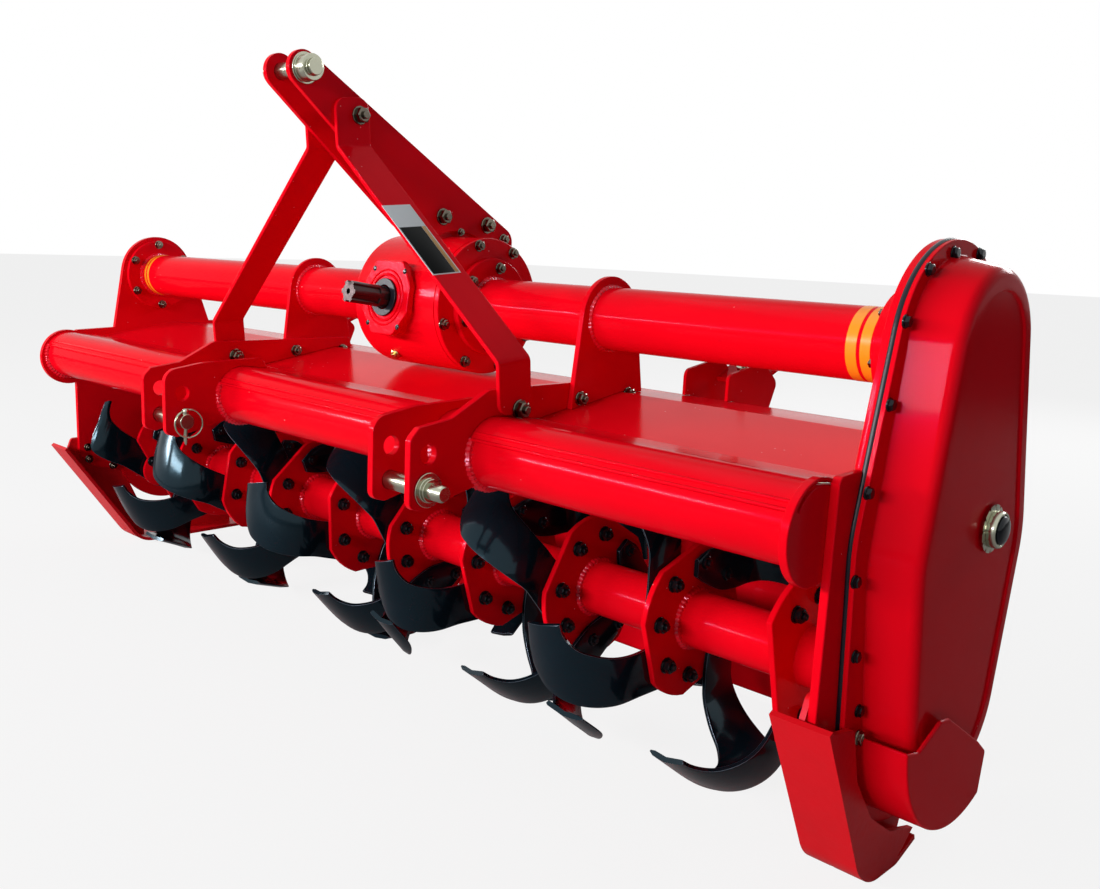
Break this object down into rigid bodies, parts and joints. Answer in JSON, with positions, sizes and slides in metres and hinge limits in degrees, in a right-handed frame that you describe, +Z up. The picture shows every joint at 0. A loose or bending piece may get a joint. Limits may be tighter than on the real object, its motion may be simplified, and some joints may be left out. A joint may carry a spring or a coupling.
{
  "type": "rotary tiller",
  "caption": "Tractor-mounted rotary tiller with a side gear drive: hood between side plates, three-point hitch, bent tines on a rotor, skids and a hinged rear board.",
  "frame": {"origin": "on the ground, in the middle of the tiller's bounding box seen from above", "axes": "+X along the rotor towards the gear case, +Y to the rear, away from the tractor, +Z up"},
  "size_m": [2.191, 0.788, 1.072],
  "materials": {
    "red_paint": "gloss",
    "tine_steel": "semi-gloss",
    "gasket_rubber": "matte",
    "shaft_steel": "oiled",
    "zinc_steel": "zinc plated"
  },
  "bodies": {
    "frame": {"beam_bearing": "red_paint", "beam_left": "red_paint", "beam_right": "red_paint", "board_bracket_left": "red_paint", "board_bracket_right": "red_paint", "brace_left": "red_paint", "brace_right": "red_paint", "case_cover": "red_paint", "case_gasket": "gasket_rubber", "case_guard": "red_paint", "case_plug": "zinc_steel", "ear_inner_left": "red_paint", "ear_inner_right": "red_paint", "ear_outer_left": "red_paint", "ear_outer_right": "red_paint", "front_tube": "red_paint", "gearbox": "red_paint", "gearbox_cover": "red_paint", "hinge_pin": "zinc_steel", "hood": "red_paint", "input_cap": "red_paint", "input_seal": "gasket_rubber", "lower_pin_left": "zinc_steel", "lower_pin_right": "zinc_steel", "mast_left": "red_paint", "mast_right": "red_paint", "mast_spacer": "zinc_steel", "rotor_bearing": "red_paint", "saddle_left": "red_paint", "saddle_right": "red_paint", "side_plate_left": "red_paint", "side_plate_right": "red_paint", "skid_left": "red_paint", "skid_right": "red_paint", "top_pin": "zinc_steel", "tube_end_plate": "red_paint"},
    "rotor": {"rotor_shaft": "red_paint", "tines": "tine_steel"},
    "input": {"input_shaft": "shaft_steel"},
    "board": {"rear_board": "red_paint"},
    "adjusters": {"adjuster_rods": "zinc_steel"}
  },
  "joints": [
    {"name": "rotor_spin", "type": "hinge", "parent": "frame", "child": "rotor", "pos_m": [-0.0425, 0.014, 0.236], "axis": [1, 0, 0], "continuous": true},
    {"name": "input_spin", "type": "hinge", "parent": "frame", "child": "input", "pos_m": [0.0645, -0.13, 0.691], "axis": [0, -0.9903, 0.1392], "continuous": true},
    {"name": "board_hinge", "type": "hinge", "parent": "frame", "child": "board", "pos_m": [-0.02, 0.282, 0.42], "axis": [1, 0, 0], "range_deg": [0, 40]},
    {"name": "adjuster_pivot", "type": "hinge", "parent": "board", "child": "adjusters", "pos_m": [-0.02, 0.379, 0.266], "axis": [1, 0, 0], "range_deg": [-19.6, 0]}
  ],
  "couplings": [
    {"joint": "input_spin", "follows": "rotor_spin", "ratio": 2.45},
    {"joint": "adjuster_pivot", "follows": "board_hinge", "ratio": -0.4875}
  ]
}
